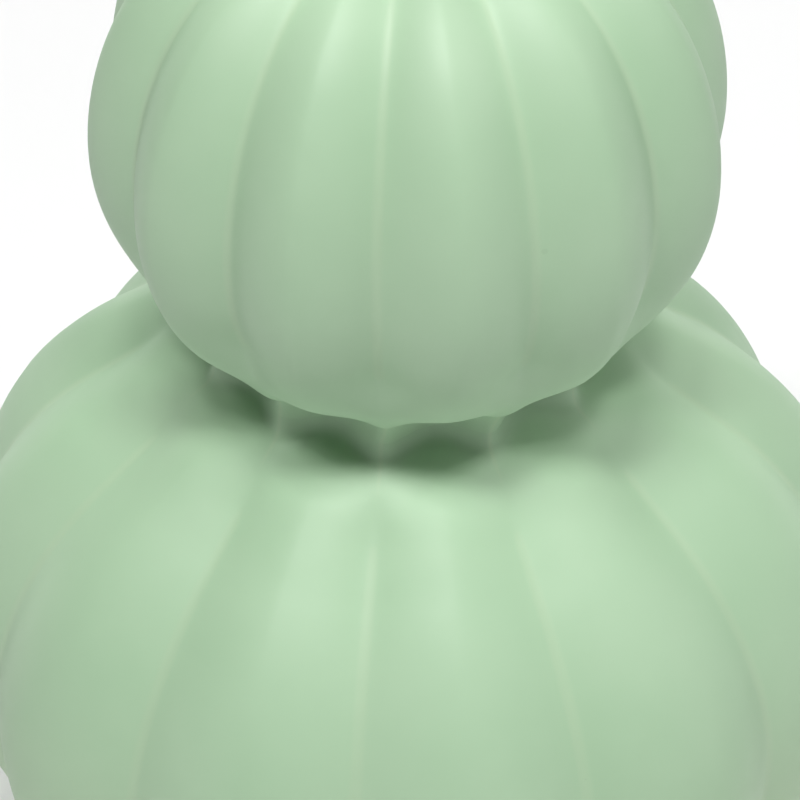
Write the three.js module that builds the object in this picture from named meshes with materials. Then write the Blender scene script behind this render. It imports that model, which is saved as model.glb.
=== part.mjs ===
// A free-standing ceramic figure: two lobed pumpkins, the smaller one luted on top of the larger,
// with a short stem in the crown. Both pumpkins are thin hollow shells, open into each other at
// the neck and vented through the base. Nothing on the figure moves.
// Millimetres, +Z up. The origin is on the floor, under the middle of the lower pumpkin.
// The front faces -Y, and bearings are measured from there towards +X.

import * as THREE from "three";

// Colours
const SAGE_GLAZE = "#b4d4b2";
const DARK_FELT = "#54584f";

// Lobes: every level of both pumpkins has the same lobed outline
const LOBES = 12;
const STEPS_PER_LOBE = 6;
const GROOVE_BEARING = THREE.MathUtils.degToRad(-6.3);

// Pieces that touch are this far apart
const JOINT_GAP = 0.3;

// Felt pads under the foot ring
const PAD_COUNT = 4;
const PAD_RADIUS = 5.5;
const PAD_THICKNESS = 2;
const PAD_CIRCLE_RADIUS = 40;
const PAD_BEARING = Math.PI / 4;

// Foot of the lower pumpkin: a flat ring around a recessed floor with a vent hole
const FOOT_Z = PAD_THICKNESS + JOINT_GAP;
const FOOT_INNER_RADIUS = 34;
const FOOT_OUTER_RADIUS = 46;
const FOOT_RECESS = 4;
const VENT_RADIUS = 4;

// Lower pumpkin: widest radius and its height, then the oval of each half
const WALL = 5;
const LOWER_RADIUS = 88;
const LOWER_MIDDLE_Z = 66;
const LOWER_BELLY_RING = 46;
const LOWER_BELLY_HEIGHT = 62;
const LOWER_SHOULDER_RING = 5;
const LOWER_SHOULDER_HEIGHT = 68.3;
const LOWER_SHOULDER_END = 64; // degrees up the oval, where it turns up into the neck
const NECK_FILLET = 6;
const NECK_RISE = 3; // how far the shoulder climbs above the oval where it meets the neck
const NECK_RISE_REACH = 60; // radius outside which it follows the oval

// Neck: the lower pumpkin's collar, which the upper pumpkin sits on
const NECK_RADIUS = 37.2;
const NECK_BORE_RADIUS = 29.5;
const NECK_TOP_Z = 139;
const LUTING_THICKNESS = 0.8;
const LUTING_INNER_RADIUS = 29.9;

// Ribs of the neck: one meets each groove, and between them the neck is hollowed towards the axis
const NECK_HOLLOW = 4.5;
const HOLLOW_RUN_IN = 4.5; // height over which the hollows start on the lower pumpkin's shoulder
const HOLLOW_RISE = 1.3; // how much higher a hollow meets the shoulder than a rib does
const HOLLOWS_END_Z = 150;
const GROOVES_MEET_NECK = 52; // radius inside which the lower grooves fade out

// Upper pumpkin, which sits a little off the lower one's axis
const UPPER_OFFSET = 1;
const UPPER_RADIUS = 56.2;
const UPPER_MIDDLE_Z = 178;
const UPPER_RING = 16.8;
const UPPER_BELLY_HEIGHT = 44.3;
const UPPER_SHOULDER_HEIGHT = 49.8;
const UPPER_SHOULDER_END = 80; // degrees up the oval, where the crown dips
const UPPER_FLOOR = 8;
const SPIGOT_RADIUS = 27.8;
const SPIGOT_WALL = 4;
const SPIGOT_LENGTH = 8;

// Grooves: how deep they are as a share of the distance from the axis, how far the lobes curve
// down to each side of them, and the heights between which they fade in
const GROOVE_POWER = 1.6; // 1 makes straight-sided grooves, and more makes the lobes rounder
const LOWER_GROOVES = { depth: 0.052, halfWidth: 19, startZ: FOOT_Z, fullZ: 22 };
const UPPER_GROOVES = { depth: 0.091, halfWidth: 14.5, startZ: 142, fullZ: 160 };

// Crown and stem
const SEAT_RADIUS = 14.5;
const SEAT_Z = 223;
const CROWN_WALL = 5.5;
const CROWN_HOLE_RADIUS = 8;
const STEM_RADIUS = 12.6;
const STEM_WAIST_RADIUS = 6.8;
const STEM_TIP_RADIUS = 8;
const STEM_TOP_Z = 254;
const STEM_RIDGES = 6;
const STEM_RIDGE_DEPTH = 0.12; // share of the stem's radius
const STEM_TWIST = THREE.MathUtils.degToRad(35);
const STEM_LEAN = 6;
const TENON_RADIUS = 7;
const TENON_LENGTH = 9;

const point = (radius, z) => new THREE.Vector2(radius, z);

// Points on part of an upright oval, angles in degrees up from its widest level
function ovalPoints(ring, middleZ, width, height, fromAngle, toAngle, steps) {
  const from = THREE.MathUtils.degToRad(fromAngle);
  const to = THREE.MathUtils.degToRad(toAngle);
  return new THREE.EllipseCurve(ring, middleZ, width, height, from, to).getPoints(steps);
}

function curvePoints(start, leaving, arriving, end, steps) {
  return new THREE.CubicBezierCurve(start, leaving, arriving, end).getPoints(steps).slice(1);
}

// 1 at the bottom of a groove, falling to 0 at the groove's half width from there
function grooveShare(turn, radius, halfWidth) {
  const place = THREE.MathUtils.euclideanModulo(turn * LOBES, 1);
  const pitch = (2 * Math.PI * radius) / LOBES;
  const distance = Math.min(place, 1 - place) * pitch;
  const reach = Math.min(halfWidth, pitch / 2);
  return (1 - Math.min(distance / reach, 1)) ** GROOVE_POWER;
}

// 0 at a rib of the neck, rising to 1 halfway to the next one
function hollowShare(turn) {
  return Math.abs(Math.sin(Math.PI * turn * LOBES));
}

// Rows of a shell that follow the lobes: each row dips into a groove at right angles to the
// outline, but an end row dips straight towards the axis, so that a rim stays flat
function lobedRows(outline, grooves, endShare) {
  return outline.map((place, index) => {
    const before = outline[Math.max(index - 1, 0)];
    const after = outline[Math.min(index + 1, outline.length - 1)];
    const along = after.clone().sub(before).normalize();
    const isEnd = index === 0 || index === outline.length - 1;
    const inward = isEnd ? point(-1, 0) : point(-along.y, along.x);
    const fade = THREE.MathUtils.smoothstep(place.y, grooves.startZ, grooves.fullZ);
    const depth = grooves.depth * place.x * fade * (isEnd ? endShare : 1);
    const dip = inward.multiplyScalar(depth);
    return { place, dip, halfWidth: grooves.halfWidth, hollow: point(0, 0) };
  });
}

function roundRows(outline) {
  return outline.map((place) => ({ place, dip: point(0, 0), halfWidth: 1, hollow: point(0, 0) }));
}

function hollowRows(outline) {
  return roundRows(outline).map((row) => ({ ...row, hollow: point(-NECK_HOLLOW, 0) }));
}

// A closed ring of rows turned about the Z axis, the first row being met again by the last
function turned(rows, segments) {
  const closed = [...rows, rows[0]];
  const geometry = new THREE.LatheGeometry(closed.map((row) => row.place), segments);
  const position = geometry.attributes.position;
  for (let column = 0; column <= segments; column += 1) {
    const turn = (column % segments) / segments;
    const bearing = GROOVE_BEARING + turn * 2 * Math.PI;
    closed.forEach(({ place, dip, halfWidth, hollow }, row) => {
      const moved = place.clone();
      moved.addScaledVector(dip, grooveShare(turn, place.x, halfWidth));
      moved.addScaledVector(hollow, hollowShare(turn));
      const index = column * closed.length + row;
      position.setXYZ(index, moved.x * Math.sin(bearing), -moved.x * Math.cos(bearing), moved.y);
    });
  }
  return geometry;
}

function lobedShell(rows) {
  return turned(rows, LOBES * STEPS_PER_LOBE);
}

function lowerPumpkin() {
  const bellyWidth = LOWER_RADIUS - LOWER_BELLY_RING;
  const shoulderWidth = LOWER_RADIUS - LOWER_SHOULDER_RING;
  const belly = ovalPoints(
    LOWER_BELLY_RING, LOWER_MIDDLE_Z, bellyWidth, LOWER_BELLY_HEIGHT, -82, 0, 8,
  );
  const shoulder = ovalPoints(
    LOWER_SHOULDER_RING, LOWER_MIDDLE_Z, shoulderWidth, LOWER_SHOULDER_HEIGHT,
    0, LOWER_SHOULDER_END, 6,
  );
  for (const place of shoulder) {
    place.y += NECK_RISE * (1 - THREE.MathUtils.smoothstep(place.x, NECK_RADIUS, NECK_RISE_REACH));
  }
  const neckFoot = shoulder.at(-1);
  const filletTop = point(NECK_RADIUS, neckFoot.y + NECK_FILLET);
  const fillet = curvePoints(
    neckFoot, point(neckFoot.x - NECK_FILLET / 2, neckFoot.y + NECK_FILLET / 5),
    point(NECK_RADIUS, neckFoot.y + NECK_FILLET / 3), filletTop, 4,
  );
  const neck = [...fillet, point(NECK_RADIUS, NECK_TOP_Z)];
  const foot = [
    point(VENT_RADIUS, FOOT_Z + FOOT_RECESS),
    point(FOOT_INNER_RADIUS, FOOT_Z + FOOT_RECESS),
    point(FOOT_INNER_RADIUS, FOOT_Z),
    point(FOOT_OUTER_RADIUS, FOOT_Z),
  ];
  const boreAngle = Math.acos((NECK_BORE_RADIUS - LOWER_SHOULDER_RING) / (shoulderWidth - WALL));
  const innerShoulder = ovalPoints(
    LOWER_SHOULDER_RING, LOWER_MIDDLE_Z, shoulderWidth - WALL, LOWER_SHOULDER_HEIGHT - WALL,
    0, THREE.MathUtils.radToDeg(boreAngle), 5,
  );
  const innerBelly = ovalPoints(
    LOWER_BELLY_RING, LOWER_MIDDLE_Z, bellyWidth - WALL, LOWER_BELLY_HEIGHT - WALL, -80, 0, 5,
  );
  const inside = [...innerBelly, ...innerShoulder.slice(1)];
  const outside = lobedRows([...belly, ...shoulder.slice(1), ...neck], LOWER_GROOVES, 1);
  const hollowStart = neckFoot.y - HOLLOW_RUN_IN / 2;
  for (const { place, dip, hollow } of outside.slice(belly.length)) {
    const started = THREE.MathUtils.smoothstep(place.y, hollowStart, hollowStart + HOLLOW_RUN_IN);
    const risen = THREE.MathUtils.smoothstep(place.y, filletTop.y, NECK_TOP_Z);
    dip.multiplyScalar(THREE.MathUtils.smoothstep(place.x, NECK_RADIUS, GROOVES_MEET_NECK));
    hollow.set(-NECK_HOLLOW * started, HOLLOW_RISE * started * (1 - risen));
  }
  return lobedShell([
    ...roundRows(foot),
    ...outside,
    ...roundRows([point(NECK_BORE_RADIUS, NECK_TOP_Z)]),
    ...lobedRows(inside, LOWER_GROOVES, 0).reverse(),
    ...roundRows([point(VENT_RADIUS, inside[0].y)]),
  ]);
}

function neckLutingRing() {
  const bottom = NECK_TOP_Z + JOINT_GAP;
  const top = bottom + LUTING_THICKNESS;
  const edge = [point(NECK_RADIUS - 0.4, bottom), point(NECK_RADIUS - 0.4, top)];
  return lobedShell([
    ...roundRows([point(LUTING_INNER_RADIUS, bottom)]),
    ...hollowRows(edge),
    ...roundRows([point(LUTING_INNER_RADIUS, top)]),
  ]);
}

function upperPumpkin() {
  const width = UPPER_RADIUS - UPPER_RING;
  const rimZ = NECK_TOP_Z + LUTING_THICKNESS + 2 * JOINT_GAP;
  const spigotBore = SPIGOT_RADIUS - SPIGOT_WALL;
  const rimAngle = -THREE.MathUtils.radToDeg(Math.asin((UPPER_MIDDLE_Z - rimZ) / UPPER_BELLY_HEIGHT));
  const belly = ovalPoints(UPPER_RING, UPPER_MIDDLE_Z, width, UPPER_BELLY_HEIGHT, rimAngle, 0, 6);
  const shoulder = ovalPoints(
    UPPER_RING, UPPER_MIDDLE_Z, width, UPPER_SHOULDER_HEIGHT, 0, UPPER_SHOULDER_END, 7,
  );
  const crest = shoulder.at(-1);
  const crown = curvePoints(
    crest, point(crest.x - 5, crest.y + 1.5), point(SEAT_RADIUS, SEAT_Z + 5),
    point(SEAT_RADIUS, SEAT_Z), 4,
  );
  const ceiling = SEAT_Z - CROWN_WALL;
  const boreAngle = -THREE.MathUtils.radToDeg(Math.acos((spigotBore - UPPER_RING) / (width - WALL)));
  const innerBelly = ovalPoints(
    UPPER_RING, UPPER_MIDDLE_Z, width - WALL, UPPER_BELLY_HEIGHT - UPPER_FLOOR, boreAngle, 0, 4,
  );
  const innerShoulder = ovalPoints(
    UPPER_RING, UPPER_MIDDLE_Z, width - WALL, ceiling - UPPER_MIDDLE_Z, 0, 84, 5,
  );
  const inside = [...innerBelly, ...innerShoulder.slice(1)];
  const outside = lobedRows([...belly, ...shoulder.slice(1), ...crown], UPPER_GROOVES, 1);
  for (const { place, hollow } of outside) {
    hollow.x = -NECK_HOLLOW * (1 - THREE.MathUtils.smoothstep(place.y, rimZ, HOLLOWS_END_Z));
  }
  return lobedShell([
    ...roundRows([point(spigotBore, rimZ - SPIGOT_LENGTH), point(SPIGOT_RADIUS, rimZ - SPIGOT_LENGTH)]),
    ...roundRows([point(SPIGOT_RADIUS, rimZ)]),
    ...outside,
    ...roundRows([point(CROWN_HOLE_RADIUS, SEAT_Z), point(CROWN_HOLE_RADIUS, inside.at(-1).y)]),
    ...lobedRows(inside, UPPER_GROOVES, 0).reverse(),
  ]);
}

function stemLutingRing() {
  const bottom = SEAT_Z + JOINT_GAP;
  const top = bottom + LUTING_THICKNESS;
  const inner = CROWN_HOLE_RADIUS + 0.4;
  const outer = STEM_RADIUS - 0.8;
  const section = [point(inner, bottom), point(outer, bottom), point(outer, top), point(inner, top)];
  return turned(roundRows(section), 36);
}

// The stem flares out at its base, narrows, and opens a little at the cut end. Ridges run up it
// with a slight twist, and it leans over towards +X. Its tenon drops into the crown hole.
function stem() {
  const base = SEAT_Z + LUTING_THICKNESS + 2 * JOINT_GAP;
  const height = STEM_TOP_Z - base;
  const flare = [point(STEM_RADIUS, base), point(STEM_RADIUS - 0.4, base + 1.5)];
  const side = curvePoints(
    flare[1], point(STEM_WAIST_RADIUS - 0.5, base + 4),
    point(STEM_WAIST_RADIUS, base + 0.6 * height), point(STEM_TIP_RADIUS, STEM_TOP_Z - 1.2), 8,
  );
  const outline = [
    point(0, base - TENON_LENGTH),
    point(TENON_RADIUS, base - TENON_LENGTH),
    point(TENON_RADIUS, base),
    ...flare,
    ...side,
    point(STEM_TIP_RADIUS - 1.2, STEM_TOP_Z),
    point(0, STEM_TOP_Z - 1),
  ];
  const geometry = new THREE.LatheGeometry(outline, STEM_RIDGES * 6).rotateX(Math.PI / 2);
  const position = geometry.attributes.position;
  const vertex = new THREE.Vector3();
  for (let index = 0; index < position.count; index += 1) {
    vertex.fromBufferAttribute(position, index);
    const climb = Math.max((vertex.z - base) / height, 0);
    const turn = Math.atan2(vertex.y, vertex.x) / (2 * Math.PI);
    const twist = (STEM_TWIST / (2 * Math.PI)) * climb;
    const furrow = (1 + Math.cos(2 * Math.PI * STEM_RIDGES * (turn - twist))) / 2;
    const squeeze = vertex.z > base ? 1 - STEM_RIDGE_DEPTH * furrow : 1;
    position.setXYZ(index, vertex.x * squeeze + STEM_LEAN * climb ** 2, vertex.y * squeeze, vertex.z);
  }
  return geometry;
}

function footPad() {
  return new THREE.CylinderGeometry(PAD_RADIUS, PAD_RADIUS, PAD_THICKNESS, 32).rotateX(Math.PI / 2);
}

const glaze = new THREE.MeshStandardMaterial({ color: SAGE_GLAZE, roughness: 0.45, metalness: 0 });
const felt = new THREE.MeshStandardMaterial({ color: DARK_FELT, roughness: 1, metalness: 0 });

function piece(name, geometry, material) {
  const mesh = new THREE.Mesh(geometry, material);
  mesh.name = name;
  return mesh;
}

const upperTier = new THREE.Group();
upperTier.position.x = UPPER_OFFSET;
upperTier.add(
  piece("upper_pumpkin", upperPumpkin(), glaze),
  piece("stem_luting_ring", stemLutingRing(), glaze),
  piece("stem", stem(), glaze),
);

const figure = new THREE.Group();
figure.add(
  piece("lower_pumpkin", lowerPumpkin(), glaze),
  piece("neck_luting_ring", neckLutingRing(), glaze),
  upperTier,
);
for (let index = 0; index < PAD_COUNT; index += 1) {
  const bearing = PAD_BEARING + (index * 2 * Math.PI) / PAD_COUNT;
  const pad = piece(`foot_pad_${index + 1}`, footPad(), felt);
  pad.position.set(
    PAD_CIRCLE_RADIUS * Math.cos(bearing), PAD_CIRCLE_RADIUS * Math.sin(bearing), PAD_THICKNESS / 2,
  );
  figure.add(pad);
}

export default figure;
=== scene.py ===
"""Looks of the stacked ceramic pumpkin figure: fine glazed shells, stem, felt pads, light and camera.

Metres, +Z up, in the CAD part's frame. Bearings are measured from the front (-Y) towards +X.
"""
import math

import bpy
import numpy as np
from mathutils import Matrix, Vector


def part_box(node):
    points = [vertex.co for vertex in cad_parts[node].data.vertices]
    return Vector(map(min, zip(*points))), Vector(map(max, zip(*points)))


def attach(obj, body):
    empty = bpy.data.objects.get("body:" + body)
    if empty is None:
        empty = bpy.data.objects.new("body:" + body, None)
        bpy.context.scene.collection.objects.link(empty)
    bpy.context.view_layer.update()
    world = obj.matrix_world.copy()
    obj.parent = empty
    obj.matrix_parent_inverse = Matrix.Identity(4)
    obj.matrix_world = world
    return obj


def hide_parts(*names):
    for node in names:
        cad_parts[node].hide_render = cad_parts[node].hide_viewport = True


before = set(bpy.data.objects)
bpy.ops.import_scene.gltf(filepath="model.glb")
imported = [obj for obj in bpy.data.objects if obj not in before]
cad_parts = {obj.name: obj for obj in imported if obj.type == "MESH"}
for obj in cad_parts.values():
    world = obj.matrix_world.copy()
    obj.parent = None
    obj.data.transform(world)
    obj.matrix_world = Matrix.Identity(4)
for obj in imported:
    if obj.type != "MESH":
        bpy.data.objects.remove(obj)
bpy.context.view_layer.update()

MM = 0.001
DEGREE = math.pi / 180
TURN = 2 * math.pi

# Pieces that touch are this far apart
JOINT_GAP = 0.3 * MM

# Places that the frame gives
lower_low, lower_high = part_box("lower_pumpkin")
upper_low, upper_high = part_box("upper_pumpkin")
stem_low, stem_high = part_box("stem")
stem_ring_low, stem_ring_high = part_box("stem_luting_ring")
neck_ring_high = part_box("neck_luting_ring")[1]
FOOT_Z = lower_low.z
NECK_TOP = lower_high.z
SEAT_Z = stem_ring_low.z - JOINT_GAP
UPPER_X = (upper_low.x + upper_high.x) / 2

# Lobes, as on the CAD part. An outline dips straight towards the axis at its ends (hold), and
# turns to dip square to itself further in (blend)
LOBES = 12
COLUMNS_PER_LOBE = 48
GROOVE_BEARING = -6.3 * DEGREE
RIM_HOLD = 2.5 * MM
RIM_BLEND = 12 * MM

# The numbers that a row holds: its place, its dip into a groove and its dip into a neck hollow
RADIUS, HEIGHT, DIP_OUT, DIP_UP, HALF_WIDTH, HOLLOW_OUT, HOLLOW_UP = range(7)

# Lower pumpkin; the ends of its ovals are degrees up from the widest level
WALL = 5 * MM
LOWER_RADIUS = 88 * MM
LOWER_MIDDLE = 66 * MM
LOWER_BELLY_RING = 46 * MM
LOWER_BELLY_HEIGHT = 62 * MM
LOWER_BELLY_START = -82
LOWER_FLOOR_START = -80
LOWER_SHOULDER_RING = 5 * MM
LOWER_SHOULDER_HEIGHT = 68.3 * MM
LOWER_SHOULDER_END = 64
NECK_FILLET = 6 * MM
NECK_RISE = 3 * MM
NECK_RISE_REACH = 60 * MM
FOOT_INNER_RADIUS = 34 * MM
FOOT_OUTER_RADIUS = 46 * MM
FOOT_RECESS = 4 * MM
FOOT_ROUNDING = 1.5 * MM
FOOT_UNDERCUT = np.array([-0.4 * MM, -0.6 * MM])
VENT_RADIUS = 4 * MM
VENT_DEPTH = 3 * MM
NECK_RADIUS = 37.2 * MM
NECK_BORE_RADIUS = 29.5 * MM

# Upper pumpkin
UPPER_RADIUS = 56.2 * MM
UPPER_MIDDLE = 178 * MM
UPPER_RING = 16.8 * MM
UPPER_BELLY_HEIGHT = 44.3 * MM
UPPER_SHOULDER_HEIGHT = 49.8 * MM
UPPER_SHOULDER_END = 80
UPPER_CEILING_END = 84
UPPER_FLOOR = 8 * MM
SPIGOT_RADIUS = 27.8 * MM
SPIGOT_BORE = 23.8 * MM
CROWN_HOLE_RADIUS = 8 * MM
CROWN_WALL = 5.5 * MM
CROWN_ROLL = np.array([-5 * MM, 1.5 * MM])
SEAT_RADIUS = 14.5 * MM
SEAT_DROP = 5 * MM

# Grooves: depth as a share of the distance from the axis, reach to each side, heights of the fade
GROOVE_ROUNDING = 1.5 * MM
GROOVE_POWER = 1.6
LOWER_GROOVES = {"depth": 0.052, "half_width": 19 * MM, "start": FOOT_Z, "full": 22 * MM}
UPPER_GROOVES = {"depth": 0.091, "half_width": 14.5 * MM, "start": 142 * MM, "full": 160 * MM}

# Neck: hollows between sharp-edged ribs, one rib to each groove
NECK_HOLLOW = 4.5 * MM
NECK_RIB_ROUNDING = 0.3
# Width of the painted highlight along each neck rib
NECK_RIB_HIGHLIGHT_WIDTH = 0.9 * MM
HOLLOW_RISE = 1.3 * MM
GROOVES_MEET_NECK = 52 * MM
HOLLOWS_BELOW_FILLET = 3 * MM
HOLLOWS_FULL = 1.5 * MM
HOLLOWS_END = 150 * MM

# Bead of slip at the neck: its foot on the collar, its top under the upper pumpkin, its thickness
BEAD_INSET = 0.3 * MM
BEAD_DROP = 4.5 * MM
BEAD_REACH = 2.1 * MM
BEAD_RISE = 1.5 * MM
BEAD_LOW_TURN = np.array([0.6 * MM, 3 * MM])
BEAD_HIGH_TURN = np.array([1.4 * MM, 1.9 * MM])
BEAD_THICKNESS = 2.6 * MM

# Stem
STEM_RADIUS = 12.6 * MM
STEM_WAIST_RADIUS = 6.8 * MM
STEM_TIP_RADIUS = 8 * MM
STEM_RIDGES = 6
STEM_RIDGE_DEPTH = 0.12
STEM_TWIST = 35 * DEGREE
STEM_LEAN = 6 * MM
STEM_FLARE_INSET = 0.4 * MM
STEM_FLARE_RISE = 1.5 * MM
STEM_FLARE_TOP = 4 * MM
STEM_WAIST_SHARE = 0.6
STEM_WAIST_PULL = 0.5 * MM
STEM_RIDGES_START = 0.05
STEM_COLUMNS_PER_RIDGE = 24
STEM_ROUNDING = 0.8 * MM
TIP_EDGE = 1.2 * MM
TIP_RIM = 1 * MM
TIP_DISH_RADIUS = 3 * MM
TIP_DISH = 0.8 * MM
TIP_DISH_MIDDLE = 1 * MM
TENON_RADIUS = 7 * MM
AXIS_HOLE = 0.05 * MM

# Felt pads
PAD_COLUMNS = 96
PAD_RINGS = [0.25, 0.5, 0.75, 0.9, 0.97, 1.0]
PAD_CORNER_SHARE = 0.22
PAD_CORNER_STEPS = 5
PAD_WAVE = 0.012
PAD_WAVES = 3
PAD_FUZZ = 0.006


# ---------------------------------------------------------------- outlines

def oval(ring, middle, width, height, start, end, steps):
    """Points on part of an upright oval; angles in degrees up from its widest level."""
    angle = np.radians(np.linspace(start, end, steps + 1))
    return np.stack([ring + width * np.cos(angle), middle + height * np.sin(angle)], 1)


def bezier(start, leaving, arriving, end, steps):
    """Points on a cubic curve, without its first one."""
    t = np.linspace(0, 1, steps + 1)[1:, None]
    s = 1 - t
    corners = [np.array(p) for p in (start, leaving, arriving, end)]
    return s**3 * corners[0] + 3 * s**2 * t * corners[1] + 3 * s * t**2 * corners[2] + t**3 * corners[3]


def softened(corners, radius, steps=5):
    """An open line through the corners, with each inner corner rounded off."""
    corners = [np.array(c, float) for c in corners]
    line = [corners[0]]
    for before, corner, after in zip(corners, corners[1:], corners[2:]):
        back, ahead = before - corner, after - corner
        reach = min(radius, 0.45 * np.linalg.norm(back), 0.45 * np.linalg.norm(ahead))
        first = corner + back / np.linalg.norm(back) * reach
        last = corner + ahead / np.linalg.norm(ahead) * reach
        for t in np.linspace(0, 1, steps + 1):
            line.append((1 - t) ** 2 * first + 2 * t * (1 - t) * corner + t**2 * last)
    line.append(corners[-1])
    return np.array(line)


def smoothstep(value, low, high):
    """0 below the low value and 1 above the high one, eased between them."""
    t = np.clip((value - low) / (high - low), 0, 1)
    return t * t * (3 - 2 * t)


def groove_share(turn, radius, half_width):
    """1 at the bottom of a groove, falling to 0 at the groove's half width from there."""
    place = np.mod(turn * LOBES, 1)
    pitch = TURN * radius / LOBES
    distance = np.hypot(np.minimum(place, 1 - place) * pitch, GROOVE_ROUNDING) - GROOVE_ROUNDING
    reach = np.hypot(np.minimum(half_width, pitch / 2), GROOVE_ROUNDING) - GROOVE_ROUNDING
    return (1 - np.minimum(distance / reach, 1)) ** GROOVE_POWER


def hollow_share(turn):
    """0 at a rib of the neck, rising to 1 halfway to the next one."""
    swing = np.hypot(np.sin(math.pi * np.mod(turn * LOBES, 1)), NECK_RIB_ROUNDING)
    return (swing - NECK_RIB_ROUNDING) / (math.hypot(1, NECK_RIB_ROUNDING) - NECK_RIB_ROUNDING)


def lobed(outline, grooves, end_share=1.0):
    """Rows that dip into the grooves square to the outline, or towards the axis near its ends."""
    along = np.gradient(outline, axis=0)
    along /= np.linalg.norm(along, axis=1)[:, None]
    normal = np.stack([-along[:, 1], along[:, 0]], 1)
    length = np.concatenate([[0], np.cumsum(np.linalg.norm(np.diff(outline, axis=0), axis=1))])
    from_end = np.minimum(length, length[-1] - length)
    blend = smoothstep(from_end, RIM_HOLD, RIM_BLEND)[:, None]
    inward = blend * normal + (1 - blend) * np.array([-1.0, 0.0])
    inward /= np.linalg.norm(inward, axis=1)[:, None]
    share = end_share + (1 - end_share) * blend[:, 0]
    fade = smoothstep(outline[:, 1], grooves["start"], grooves["full"])
    depth = grooves["depth"] * outline[:, 0] * fade * share
    half_width = np.full((len(outline), 1), grooves["half_width"])
    return np.hstack([outline, inward * depth[:, None], half_width, np.zeros_like(outline)])


def plain(outline):
    """Rows that stay round: with no dip, their half width only has to be above 0."""
    outline = np.atleast_2d(np.array(outline, float))
    no_dip = np.zeros_like(outline)
    half_width = np.full((len(outline), 1), 1 * MM)
    return np.hstack([outline, no_dip, half_width, no_dip])


# ---------------------------------------------------------------- meshes

def mesh_object(name, vertices, faces, **shares):
    """A smooth mesh in the scene, with its shares kept as attributes of its points."""
    mesh = bpy.data.meshes.new(name)
    mesh.from_pydata(vertices.tolist(), [], faces)
    mesh.shade_smooth()
    for share, values in shares.items():
        mesh.attributes.new(share, "FLOAT", "POINT").data.foreach_set("value", values)
    mesh.update()
    piece = bpy.data.objects.new(name, mesh)
    bpy.context.scene.collection.objects.link(piece)
    return piece


def round_faces(columns, count, closed=False):
    """Faces between neighbouring columns of points, with a cap at each end of an open outline."""
    faces = []
    for column in range(columns):
        here, there = column * count, (column + 1) % columns * count
        for row in range(count if closed else count - 1):
            above = (row + 1) % count
            faces.append((here + row, there + row, there + above, here + above))
    if not closed:
        faces.append([column * count for column in range(columns)][::-1])
        faces.append([column * count + count - 1 for column in range(columns)])
    return faces


def turned(name, rows, centre_x=0.0):
    """A closed ring of rows turned about the figure's axis."""
    columns = LOBES * COLUMNS_PER_LOBE
    turn = (np.arange(columns) / columns)[:, None]
    share = groove_share(turn, rows[:, RADIUS], rows[:, HALF_WIDTH])
    hollow = hollow_share(turn)
    bearing = GROOVE_BEARING + turn * TURN
    radius = rows[:, RADIUS] + share * rows[:, DIP_OUT] + hollow * rows[:, HOLLOW_OUT]
    z = rows[:, HEIGHT] + share * rows[:, DIP_UP] + hollow * rows[:, HOLLOW_UP]
    x = centre_x + radius * np.sin(bearing)
    y = -radius * np.cos(bearing)
    vertices = np.stack([x, y, z], -1).reshape(-1, 3)
    depth = np.hypot(rows[:, DIP_OUT], rows[:, DIP_UP]) / rows[:, RADIUS]
    groove = share * depth / max(depth.max(), 1e-6)
    place = np.mod(turn * LOBES, 1)
    from_rib = np.minimum(place, 1 - place) / LOBES * TURN * rows[:, RADIUS]
    # Mask for the painted highlight along the neck ribs
    rib = np.maximum(1 - from_rib / NECK_RIB_HIGHLIGHT_WIDTH, 0) * -rows[:, HOLLOW_OUT] / NECK_HOLLOW
    faces = round_faces(columns, len(rows), closed=True)
    return mesh_object(name, vertices, faces, groove=groove.ravel(), rib=rib.ravel())


def lower_foot(belly_start):
    """The vent's wall, the recessed floor and the foot ring, outwards to the belly."""
    recess = FOOT_Z + FOOT_RECESS
    return softened([
        (VENT_RADIUS, recess + VENT_DEPTH),
        (VENT_RADIUS, recess),
        (FOOT_INNER_RADIUS, recess),
        (FOOT_INNER_RADIUS, FOOT_Z),
        (FOOT_OUTER_RADIUS, FOOT_Z),
        belly_start + FOOT_UNDERCUT,
    ], FOOT_ROUNDING)


def lower_inside(belly_width, shoulder_width):
    """The inner face, one wall in from the outer one, up to the neck's bore."""
    ring = LOWER_SHOULDER_RING
    bore_end = math.degrees(math.acos((NECK_BORE_RADIUS - ring) / (shoulder_width - WALL)))
    belly = oval(
        LOWER_BELLY_RING, LOWER_MIDDLE, belly_width - WALL, LOWER_BELLY_HEIGHT - WALL,
        LOWER_FLOOR_START, 0, steps=12,
    )
    shoulder = oval(
        ring, LOWER_MIDDLE, shoulder_width - WALL, LOWER_SHOULDER_HEIGHT - WALL,
        0, bore_end, steps=12,
    )
    return np.vstack([belly, shoulder[1:]])


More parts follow.
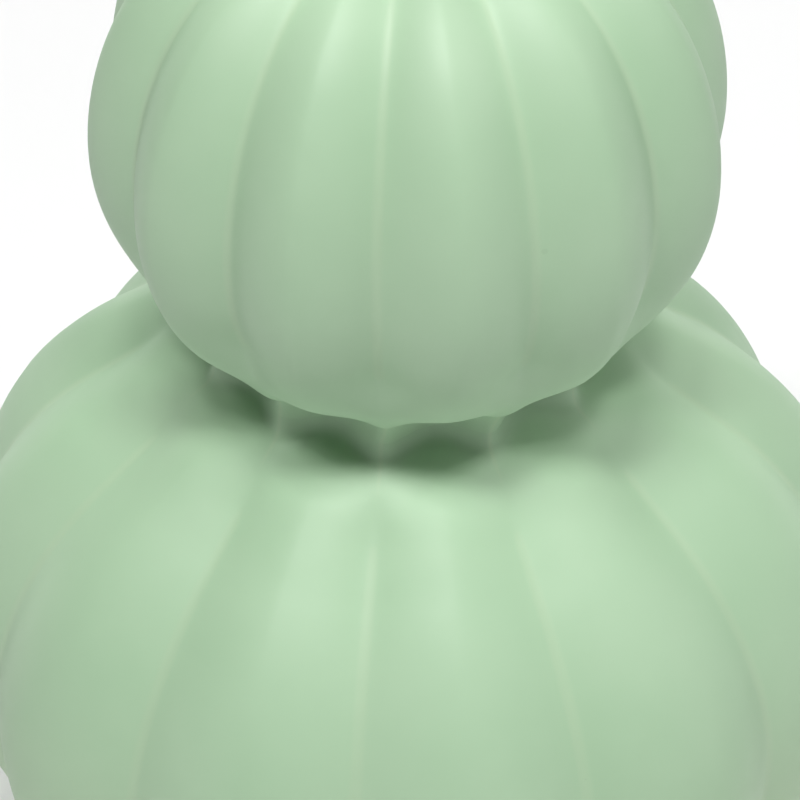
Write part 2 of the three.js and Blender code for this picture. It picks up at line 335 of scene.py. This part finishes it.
def lower_pumpkin():
    """The lower shell: foot, lobed belly and shoulder, round neck with its hollows, and the inside."""
    belly_width = LOWER_RADIUS - LOWER_BELLY_RING
    shoulder_width = LOWER_RADIUS - LOWER_SHOULDER_RING
    belly = oval(
        LOWER_BELLY_RING, LOWER_MIDDLE, belly_width, LOWER_BELLY_HEIGHT,
        LOWER_BELLY_START, 0, steps=64,
    )
    shoulder = oval(
        LOWER_SHOULDER_RING, LOWER_MIDDLE, shoulder_width, LOWER_SHOULDER_HEIGHT,
        0, LOWER_SHOULDER_END, steps=60,
    )
    raised = 1 - smoothstep(shoulder[:, 0], NECK_RADIUS, NECK_RISE_REACH)
    shoulder[:, 1] += NECK_RISE * raised
    neck_foot = shoulder[-1]
    fillet_top = np.array([NECK_RADIUS, neck_foot[1] + NECK_FILLET])
    run_in = neck_foot + (-NECK_FILLET / 2, NECK_FILLET / 5)
    run_out = (NECK_RADIUS, neck_foot[1] + NECK_FILLET / 3)
    fillet = bezier(neck_foot, run_in, run_out, fillet_top, steps=16)
    neck = np.linspace(fillet_top, (NECK_RADIUS, NECK_TOP), 12)[1:]
    outside = lobed(np.vstack([belly, shoulder[1:], fillet, neck]), LOWER_GROOVES)
    meeting = smoothstep(outside[:, RADIUS], NECK_RADIUS, GROOVES_MEET_NECK)
    outside[:, DIP_OUT] *= meeting
    outside[:, DIP_UP] *= meeting
    hollows_start = neck_foot[1] - HOLLOWS_BELOW_FILLET
    near_neck = smoothstep(outside[:, HEIGHT], hollows_start, neck_foot[1] + HOLLOWS_FULL)
    near_neck = near_neck * (outside[:, RADIUS] < GROOVES_MEET_NECK)
    level_out = 1 - smoothstep(outside[:, HEIGHT], fillet_top[1], NECK_TOP)
    outside[:, HOLLOW_OUT] = -NECK_HOLLOW * near_neck
    outside[:, HOLLOW_UP] = HOLLOW_RISE * near_neck * level_out
    inside = lower_inside(belly_width, shoulder_width)
    return turned("glazed_lower_pumpkin", np.vstack([
        plain(lower_foot(belly[0])),
        outside,
        plain((NECK_BORE_RADIUS, NECK_TOP)),
        lobed(inside, LOWER_GROOVES, 0.0)[::-1],
        plain((VENT_RADIUS, inside[0, 1])),
    ]))


def upper_inside(width):
    """The inner face, from the spigot's bore up to the crown hole."""
    bore_start = -math.degrees(math.acos((SPIGOT_BORE - UPPER_RING) / (width - WALL)))
    ceiling_height = SEAT_Z - CROWN_WALL - UPPER_MIDDLE
    belly = oval(
        UPPER_RING, UPPER_MIDDLE, width - WALL, UPPER_BELLY_HEIGHT - UPPER_FLOOR,
        bore_start, 0, steps=10,
    )
    shoulder = oval(
        UPPER_RING, UPPER_MIDDLE, width - WALL, ceiling_height,
        0, UPPER_CEILING_END, steps=10,
    )
    return np.vstack([belly, shoulder[1:]])


def upper_pumpkin():
    """The upper shell: spigot, hollowed underside, lobed belly and shoulder, crown and the inside."""
    width = UPPER_RADIUS - UPPER_RING
    rim = neck_ring_high.z + JOINT_GAP
    rim_angle = -math.degrees(math.asin((UPPER_MIDDLE - rim) / UPPER_BELLY_HEIGHT))
    belly = oval(UPPER_RING, UPPER_MIDDLE, width, UPPER_BELLY_HEIGHT, rim_angle, 0, steps=60)
    shoulder = oval(
        UPPER_RING, UPPER_MIDDLE, width, UPPER_SHOULDER_HEIGHT, 0, UPPER_SHOULDER_END, steps=60,
    )
    crest = shoulder[-1]
    seat_edge = (SEAT_RADIUS, SEAT_Z)
    above_seat = (SEAT_RADIUS, SEAT_Z + SEAT_DROP)
    crown = bezier(crest, crest + CROWN_ROLL, above_seat, seat_edge, steps=16)
    outside = lobed(np.vstack([belly, shoulder[1:], crown]), UPPER_GROOVES)
    outside[:, HOLLOW_OUT] = -NECK_HOLLOW * (1 - smoothstep(outside[:, HEIGHT], rim, HOLLOWS_END))
    inside = upper_inside(width)
    return turned("glazed_upper_pumpkin", np.vstack([
        plain([(SPIGOT_BORE, upper_low.z), (SPIGOT_RADIUS, upper_low.z), (SPIGOT_RADIUS, rim)]),
        outside,
        plain([(CROWN_HOLE_RADIUS, SEAT_Z), (CROWN_HOLE_RADIUS, inside[-1, 1])]),
        lobed(inside, UPPER_GROOVES, 0.0)[::-1],
    ]), UPPER_X)


def neck_fillet():
    """The bead of slip in the corner under the upper pumpkin, glazed over with the rest."""
    rim = neck_ring_high.z + JOINT_GAP
    wall = np.array([NECK_RADIUS - BEAD_INSET, NECK_TOP - BEAD_DROP])
    under = np.array([NECK_RADIUS + BEAD_REACH, rim + BEAD_RISE])
    curve = bezier(wall, wall + BEAD_LOW_TURN, under - BEAD_HIGH_TURN, under, steps=20)
    face = np.vstack([wall, curve])
    back = face[::-4] - (BEAD_THICKNESS, 0)
    outline = np.vstack([face, back])
    climb = smoothstep(outline[:, 1], face[0, 1], face[-1, 1])
    rows = plain(outline)
    rows[:, HOLLOW_OUT] = -NECK_HOLLOW
    return turned("neck_fillet", rows, UPPER_X * climb)


def stem():
    """A twisted, ridged stem that leans and flares, with a round tenon below its shoulder."""
    base = stem_ring_high.z + JOINT_GAP
    top = stem_high.z
    height = top - base
    flare = np.array([STEM_RADIUS - STEM_FLARE_INSET, base + STEM_FLARE_RISE])
    side = bezier(
        flare,
        (STEM_WAIST_RADIUS - STEM_WAIST_PULL, base + STEM_FLARE_TOP),
        (STEM_WAIST_RADIUS, base + STEM_WAIST_SHARE * height),
        (STEM_TIP_RADIUS, top - TIP_EDGE),
        steps=60,
    )
    tenon = softened([
        (AXIS_HOLE, stem_low.z),
        (TENON_RADIUS, stem_low.z),
        (TENON_RADIUS, base),
        (STEM_RADIUS, base),
        flare,
    ], STEM_ROUNDING)
    tip = softened([
        side[-1],
        (STEM_TIP_RADIUS - TIP_RIM, top),
        (TIP_DISH_RADIUS, top - TIP_DISH),
        (AXIS_HOLE, top - TIP_DISH_MIDDLE),
    ], STEM_ROUNDING)
    outline = np.vstack([tenon, side, tip[1:]])
    columns = STEM_RIDGES * STEM_COLUMNS_PER_RIDGE
    angle = (np.arange(columns) / columns)[:, None] * TURN
    climb = np.clip((outline[:, 1] - base) / height, 0, 1)
    ridge = (1 + np.cos(STEM_RIDGES * (angle - STEM_TWIST * climb))) / 2
    ridge = ridge * smoothstep(climb, 0, STEM_RIDGES_START)
    radius = outline[:, 0] * (1 - STEM_RIDGE_DEPTH * ridge)
    x = UPPER_X + radius * np.cos(angle) + STEM_LEAN * climb**2
    y = radius * np.sin(angle)
    z = np.broadcast_to(outline[:, 1], x.shape)
    vertices = np.stack([x, y, z], -1).reshape(-1, 3)
    faces = round_faces(columns, len(outline))
    return mesh_object("glazed_stem", vertices, faces, groove=ridge.ravel())


def pad_outline(radius, thickness):
    """From near the middle of the underside, round both corners, to near the middle of the top."""
    corner = PAD_CORNER_SHARE * thickness
    flat = radius - corner
    outline = [(share * flat, 0.0) for share in PAD_RINGS]
    for step in range(1, PAD_CORNER_STEPS + 1):
        bend = step / PAD_CORNER_STEPS * math.pi / 2
        outline.append((flat + corner * math.sin(bend), corner - corner * math.cos(bend)))
    for step in range(PAD_CORNER_STEPS + 1):
        bend = step / PAD_CORNER_STEPS * math.pi / 2
        place = (flat + corner * math.cos(bend), thickness - corner + corner * math.sin(bend))
        outline.append(place)
    outline += [(share * flat, thickness) for share in reversed(PAD_RINGS[:-1])]
    return np.array(outline)


def felt_pad(node, seed):
    """A pressed felt disc with a soft, slightly uneven edge."""
    low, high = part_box(node)
    centre = (low + high) / 2
    random = np.random.default_rng(seed)
    angle = np.arange(PAD_COLUMNS) / PAD_COLUMNS * TURN
    outline = pad_outline((high.x - low.x) / 2, high.z - low.z)
    wave = PAD_WAVE * np.sin(PAD_WAVES * angle + random.uniform(0, 6))
    wobble = 1 + wave + PAD_FUZZ * random.standard_normal(PAD_COLUMNS)
    x = centre.x + outline[:, 0] * (wobble * np.cos(angle))[:, None]
    y = centre.y + outline[:, 0] * (wobble * np.sin(angle))[:, None]
    z = low.z + np.broadcast_to(outline[:, 1], x.shape)
    vertices = np.stack([x, y, z], -1).reshape(-1, 3)
    faces = round_faces(PAD_COLUMNS, len(outline))
    return mesh_object(f"felt_{node}", vertices, faces)


# ---------------------------------------------------------------- materials

class Nodes:
    """Short calls for building one material's node tree; inputs are numbers, colours or sockets."""

    def __init__(self, name):
        self.material = bpy.data.materials.new(name)
        self.material.use_nodes = True
        self.tree = self.material.node_tree
        self.shader = self.tree.nodes["Principled BSDF"]

    def add(self, kind, inputs=None, **settings):
        node = self.tree.nodes.new(kind)
        for key, value in settings.items():
            setattr(node, key, value)
        for key, value in (inputs or {}).items():
            if isinstance(value, bpy.types.NodeSocket):
                self.tree.links.new(value, node.inputs[key])
            else:
                node.inputs[key].default_value = value
        return node

    def noise(self, place, scale, detail=2.0, roughness=0.5):
        return self.add("ShaderNodeTexNoise", {
            "Vector": place, "Scale": scale, "Detail": detail, "Roughness": roughness,
        }).outputs["Fac"]

    def remap(self, value, low, high, to_low, to_high, smooth=False):
        return self.add("ShaderNodeMapRange", {
            "Value": value, "From Min": low, "From Max": high, "To Min": to_low, "To Max": to_high,
        }, interpolation_type="SMOOTHSTEP" if smooth else "LINEAR").outputs["Result"]

    def math(self, operation, a, b):
        return self.add("ShaderNodeMath", {0: a, 1: b}, operation=operation).outputs[0]

    def mix(self, factor, a, b):
        return self.add("ShaderNodeMix", {"Factor": factor, 6: a, 7: b}, data_type="RGBA").outputs[2]

    def bump(self, height, strength, distance):
        return self.add("ShaderNodeBump", {
            "Strength": strength, "Distance": distance, "Height": height,
        }).outputs["Normal"]

    def use(self, **inputs):
        names = {"colour": "Base Color", "roughness": "Roughness", "normal": "Normal"}
        for key, value in inputs.items():
            self.tree.links.new(value, self.shader.inputs[names[key]])


def linear(red, green, blue):
    """A colour given as it looks on a screen, 0 to 255."""
    def channel(value):
        value /= 255
        return value / 12.92 if value <= 0.04045 else ((value + 0.055) / 1.055) ** 2.4
    return (channel(red), channel(green), channel(blue), 1)


# Colours
SAGE = linear(172, 205, 169)
SAGE_LIGHT = linear(183, 213, 179)
SAGE_WARM = linear(177, 206, 162)
LINE_HIGHLIGHT = linear(196, 214, 180)
# Pale tint of the painted highlight along groove bottoms and neck ribs
CLAY = linear(226, 214, 194)
SPECK = linear(128, 148, 120)
FELT_DARK = linear(62, 66, 60)
FELT_LIGHT = linear(104, 108, 98)
FELT_SHADE = linear(44, 47, 43)
PAPER_DULL = (0.82, 0.82, 0.82, 1)
PAPER_BRIGHT = (0.84, 0.84, 0.84, 1)

# Heights between which the warmer tint of the lower pumpkin fades out, and its strength
WARM_BELOW = 0.02
WARM_ENDS = 0.1
WARM_STRENGTH = 0.6

# Painted highlight along groove bottoms and neck ribs: where each mask starts it, and how strong it is
GROOVE_HIGHLIGHT_START = 0.93
GROOVE_HIGHLIGHT_STRENGTH = 0.2
RIB_HIGHLIGHT_START = 0.2
RIB_HIGHLIGHT_STRENGTH = 0.3

# The glaze's edge above the foot ring, and how far it strays
CLAY_TOP = FOOT_Z + 0.6 * MM
GLAZE_START = FOOT_Z + 1.0 * MM
GLAZE_EDGE_STRAY = 0.5 * MM

# Surface finish
SATIN_SMOOTHEST = 0.48
SATIN_ROUGHEST = 0.54
CLAY_EXTRA_ROUGHNESS = 0.4
SPECK_LARGEST = 0.05
SPECK_STRENGTH = 0.1
SPECK_PIT = 1.5
GLAZE_RELIEF = 0.06 * MM
GLAZE_RELIEF_STRENGTH = 0.25
FELT_RELIEF = 0.25 * MM
FELT_RELIEF_STRENGTH = 0.8


def glaze_colour(n, place, mottle, speck):
    """Clouded sage, warmer low down, with a painted highlight along groove bottoms and neck ribs, and a
    few faint specks.
    """
    height = n.add("ShaderNodeSeparateXYZ", {0: place}).outputs["Z"]
    groove = n.add("ShaderNodeAttribute", attribute_name="groove").outputs["Fac"]
    rib = n.add("ShaderNodeAttribute", attribute_name="rib").outputs["Fac"]
    clouds = n.noise(place, scale=22.0, detail=3.0)
    colour = n.mix(n.remap(clouds, 0.3, 0.7, 0, 1), SAGE, SAGE_LIGHT)
    warm = n.remap(height, WARM_BELOW, WARM_ENDS, WARM_STRENGTH, 0, smooth=True)
    colour = n.mix(warm, colour, SAGE_WARM)
    # Painted highlight: pale lines along the groove bottoms (the stem's grooves too) and along the neck
    # ribs
    groove_highlight = n.remap(groove, GROOVE_HIGHLIGHT_START, 1.0, 0, GROOVE_HIGHLIGHT_STRENGTH, smooth=True)
    rib_highlight = n.remap(rib, RIB_HIGHLIGHT_START, 1.0, 0, RIB_HIGHLIGHT_STRENGTH, smooth=True)
    painted_highlight = n.math("MAXIMUM", groove_highlight, rib_highlight)
    painted_highlight = n.math("MULTIPLY", painted_highlight, n.remap(mottle, 0.3, 0.7, 0.7, 1))
    colour = n.mix(painted_highlight, colour, LINE_HIGHLIGHT)
    return n.mix(n.math("MULTIPLY", speck, SPECK_STRENGTH), colour, SPECK)


def glazed_share(n, place):
    """0 on the bare clay of the foot ring, 1 above the glaze's uneven edge."""
    height = n.add("ShaderNodeSeparateXYZ", {0: place}).outputs["Z"]
    stray = n.remap(n.noise(place, scale=120.0), 0, 1, -GLAZE_EDGE_STRAY, GLAZE_EDGE_STRAY)
    return n.remap(n.math("ADD", height, stray), CLAY_TOP, GLAZE_START, 0, 1)


def speck_share(n, place):
    """1 inside a speck, 0 elsewhere; specks come in loose groups."""
    cells = n.add("ShaderNodeTexVoronoi", {"Vector": place, "Scale": 90.0})
    size = n.remap(n.noise(place, scale=60.0, detail=1.0), 0.6, 0.75, 0.0, SPECK_LARGEST)
    return n.math("LESS_THAN", cells.outputs["Distance"], size)


def sage_glaze():
    n = Nodes("sage_glaze")
    place = n.add("ShaderNodeTexCoord").outputs["Object"]
    mottle = n.noise(place, scale=160.0, detail=4.0, roughness=0.6)
    speck = speck_share(n, place)
    glazed = glazed_share(n, place)
    colour = n.mix(glazed, CLAY, glaze_colour(n, place, mottle, speck))
    satin = n.remap(mottle, 0.3, 0.7, SATIN_SMOOTHEST, SATIN_ROUGHEST)
    roughness = n.math("ADD", satin, n.remap(glazed, 0, 1, CLAY_EXTRA_ROUGHNESS, 0))
    grain = n.noise(place, scale=1400.0, detail=3.0)
    peel = n.noise(place, scale=260.0)
    relief = n.math("ADD", n.math("MULTIPLY", grain, 0.3), peel)
    relief = n.math("SUBTRACT", relief, n.math("MULTIPLY", speck, SPECK_PIT))
    normal = n.bump(relief, GLAZE_RELIEF_STRENGTH, GLAZE_RELIEF)
    n.use(colour=colour, roughness=roughness, normal=normal)
    return n.material


def pad_felt():
    n = Nodes("pad_felt")
    place = n.add("ShaderNodeTexCoord").outputs["Object"]
    fibres = n.noise(place, scale=2600.0, detail=5.0, roughness=0.7)
    tufts = n.noise(place, scale=500.0, detail=3.0)
    colour = n.mix(n.remap(fibres, 0.3, 0.7, 0, 1), FELT_DARK, FELT_LIGHT)
    colour = n.mix(n.remap(tufts, 0.35, 0.7, 0, 0.4), colour, FELT_SHADE)
    normal = n.bump(n.math("ADD", fibres, tufts), FELT_RELIEF_STRENGTH, FELT_RELIEF)
    roughness = n.remap(tufts, 0, 1, 0.88, 1.0)
    n.shader.inputs["Sheen Weight"].default_value = 0.3
    n.use(colour=colour, roughness=roughness, normal=normal)
    return n.material


def floor_paper():
    n = Nodes("floor_paper")
    place = n.add("ShaderNodeTexCoord").outputs["Object"]
    n.use(colour=n.mix(n.noise(place, scale=3.0), PAPER_DULL, PAPER_BRIGHT))
    n.shader.inputs["Roughness"].default_value = 0.9
    n.shader.inputs["Specular IOR Level"].default_value = 0.1
    return n.material


# ---------------------------------------------------------------- studio

CAMERA_ELEVATION = 41.5 * DEGREE
CAMERA_DISTANCE = 0.665
CAMERA_AIM = Vector((-0.77 * MM, 0, 113.5 * MM))
CAMERA_LENS = 160.6
CAMERA_SENSOR = 36

# Small key lights make the shadows under the upper pumpkin, and wide panels fill them
LIGHT_AIM = Vector((0, 0, 0.12))
KEY_DISTANCE = 1.6
KEY_SIZE = 0.22
PANEL_DISTANCE = 1.8
PANEL_SIZE = 0.9

FLOOR_SIDE = 6.0
FLOOR_STEPS = 24
FLOOR_Z = -0.02 * MM


def camera():
    data = bpy.data.cameras.new("camera")
    data.sensor_width = CAMERA_SENSOR
    data.lens = CAMERA_LENS
    data.clip_start = 0.05
    data.clip_end = 50
    piece = bpy.data.objects.new("camera", data)
    back = Vector((0, -math.cos(CAMERA_ELEVATION), math.sin(CAMERA_ELEVATION)))
    piece.location = CAMERA_AIM + CAMERA_DISTANCE * back
    piece.rotation_euler = (math.pi / 2 - CAMERA_ELEVATION, 0, 0)
    bpy.context.scene.collection.objects.link(piece)
    bpy.context.scene.camera = piece


def softbox(name, bearing, elevation, power, distance, size):
    """A square light that faces the figure, unseen by the camera; angles in degrees."""
    data = bpy.data.lights.new(name, "AREA")
    data.shape = "RECTANGLE"
    data.size = size
    data.size_y = size
    data.energy = power
    piece = bpy.data.objects.new(name, data)
    b, e = bearing * DEGREE, elevation * DEGREE
    away = Vector((math.sin(b) * math.cos(e), -math.cos(b) * math.cos(e), math.sin(e)))
    piece.location = LIGHT_AIM + distance * away
    piece.rotation_euler = away.to_track_quat("Z", "Y").to_euler()
    piece.visible_camera = False
    bpy.context.scene.collection.objects.link(piece)


def key(name, bearing, elevation, power):
    softbox(name, bearing, elevation, power, KEY_DISTANCE, KEY_SIZE)


def panel(name, bearing, elevation, power):
    softbox(name, bearing, elevation, power, PANEL_DISTANCE, PANEL_SIZE)


def studio():
    world = bpy.data.worlds.new("studio")
    world.use_nodes = True
    world.node_tree.nodes["Background"].inputs["Color"].default_value = (1, 1, 1, 1)
    world.node_tree.nodes["Background"].inputs["Strength"].default_value = 0.0
    bpy.context.scene.world = world
    bpy.context.scene.view_settings.view_transform = "Standard"
    key("key_left", bearing=-30, elevation=66, power=6.6)
    key("key_far_left", bearing=-55, elevation=60, power=3)
    key("key_front", bearing=-10, elevation=72, power=6.6)
    key("key_right", bearing=20, elevation=66, power=6.6)
    panel("right_high", bearing=60, elevation=62, power=3.4)
    panel("right_side", bearing=90, elevation=35, power=5)
    panel("left_back", bearing=-135, elevation=35, power=0.8)
    panel("floor_wash", bearing=180, elevation=42, power=17)


def floor():
    """A wide sheet of pale paper just under the pads."""
    line = np.linspace(-FLOOR_SIDE, FLOOR_SIDE, FLOOR_STEPS + 1)
    x, y = np.meshgrid(line, line, indexing="ij")
    vertices = np.stack([x, y, np.full_like(x, FLOOR_Z)], -1).reshape(-1, 3)
    faces = []
    for i in range(FLOOR_STEPS):
        for j in range(FLOOR_STEPS):
            first = i * (FLOOR_STEPS + 1) + j
            across = first + FLOOR_STEPS + 1
            faces.append((first, across, across + 1, first + 1))
    piece = mesh_object("floor", vertices, faces)
    piece.data.materials.append(floor_paper())


# ---------------------------------------------------------------- the figure

def place(piece, material, slot, *nodes):
    """Give a piece its material and let it stand for the nodes named."""
    piece.data.materials.append(material)
    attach(piece, "root")
    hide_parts(*nodes)


glaze = sage_glaze()
place(lower_pumpkin(), glaze, "sage_glaze", "lower_pumpkin")
place(upper_pumpkin(), glaze, "sage_glaze", "upper_pumpkin")
place(neck_fillet(), glaze, "sage_glaze", "neck_luting_ring")
place(stem(), glaze, "sage_glaze", "stem")
felt = pad_felt()
for number in range(1, 5):
    place(felt_pad(f"foot_pad_{number}", number), felt, "felt", f"foot_pad_{number}")
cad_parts["stem_luting_ring"].data.materials.clear()
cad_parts["stem_luting_ring"].data.materials.append(glaze)

camera()
studio()
floor()
